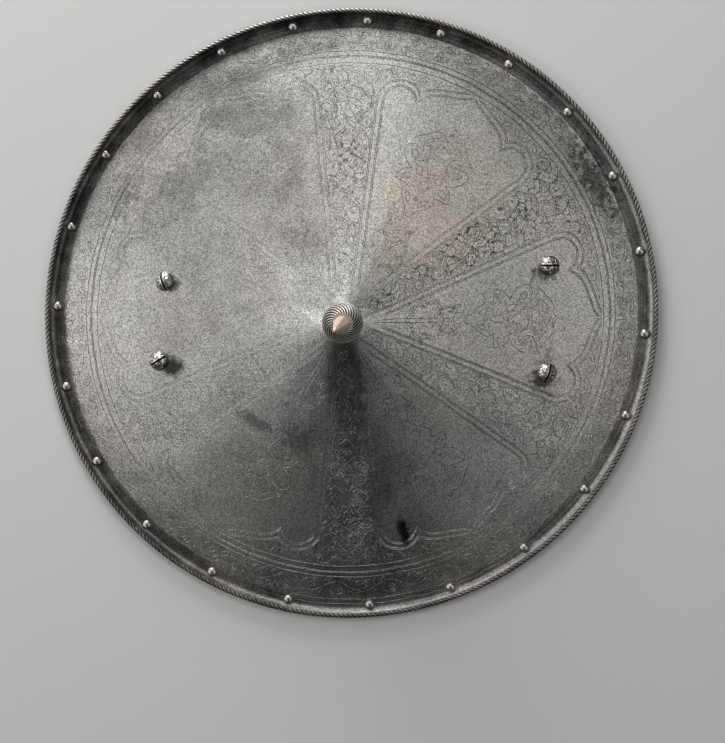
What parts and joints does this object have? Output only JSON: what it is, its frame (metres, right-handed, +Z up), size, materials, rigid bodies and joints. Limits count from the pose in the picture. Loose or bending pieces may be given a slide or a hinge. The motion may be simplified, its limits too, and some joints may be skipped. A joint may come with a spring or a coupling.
{
  "type": "round shield",
  "caption": "Round raised steel shield with an upturned beaded rim, domed rim rivets, slotted strap screws and a writhen boss drawn out into a square spike.",
  "frame": {"origin": "under the middle of the plate, on the surface that the shield lies on", "axes": "+Z up through the spike, +Y towards the top of the shield as worn, +X towards the wider pair of strap screws"},
  "size_m": [0.5816, 0.5782, 0.2191],
  "materials": {
    "plate_steel": "aged etched steel, mottled grey with darker patina",
    "spike_steel": "filed and worn bright on the ridges, dark in the flutes",
    "rivet_steel": "smooth domed heads, slightly dulled",
    "screw_steel": "domed heads with engraved petals and a filed slot",
    "nut_steel": "dark, as forged"
  },
  "bodies": {
    "root": {"shield_plate": "plate_steel", "spike": "spike_steel", "rim_rivet_01": "rivet_steel", "rim_rivet_02": "rivet_steel", "rim_rivet_03": "rivet_steel", "rim_rivet_04": "rivet_steel", "rim_rivet_05": "rivet_steel", "rim_rivet_06": "rivet_steel", "rim_rivet_07": "rivet_steel", "rim_rivet_08": "rivet_steel", "rim_rivet_09": "rivet_steel", "rim_rivet_10": "rivet_steel", "rim_rivet_11": "rivet_steel", "rim_rivet_12": "rivet_steel", "rim_rivet_13": "rivet_steel", "rim_rivet_14": "rivet_steel", "rim_rivet_15": "rivet_steel", "rim_rivet_16": "rivet_steel", "rim_rivet_17": "rivet_steel", "rim_rivet_18": "rivet_steel", "rim_rivet_19": "rivet_steel", "rim_rivet_20": "rivet_steel", "rim_rivet_21": "rivet_steel", "rim_rivet_22": "rivet_steel", "rim_rivet_23": "rivet_steel", "strap_screw_upper_left": "screw_steel", "strap_screw_lower_left": "screw_steel", "strap_screw_upper_right": "screw_steel", "strap_screw_lower_right": "screw_steel", "strap_nut_upper_left": "nut_steel", "strap_nut_lower_left": "nut_steel", "strap_nut_upper_right": "nut_steel", "strap_nut_lower_right": "nut_steel"}
  },
  "joints": []
}
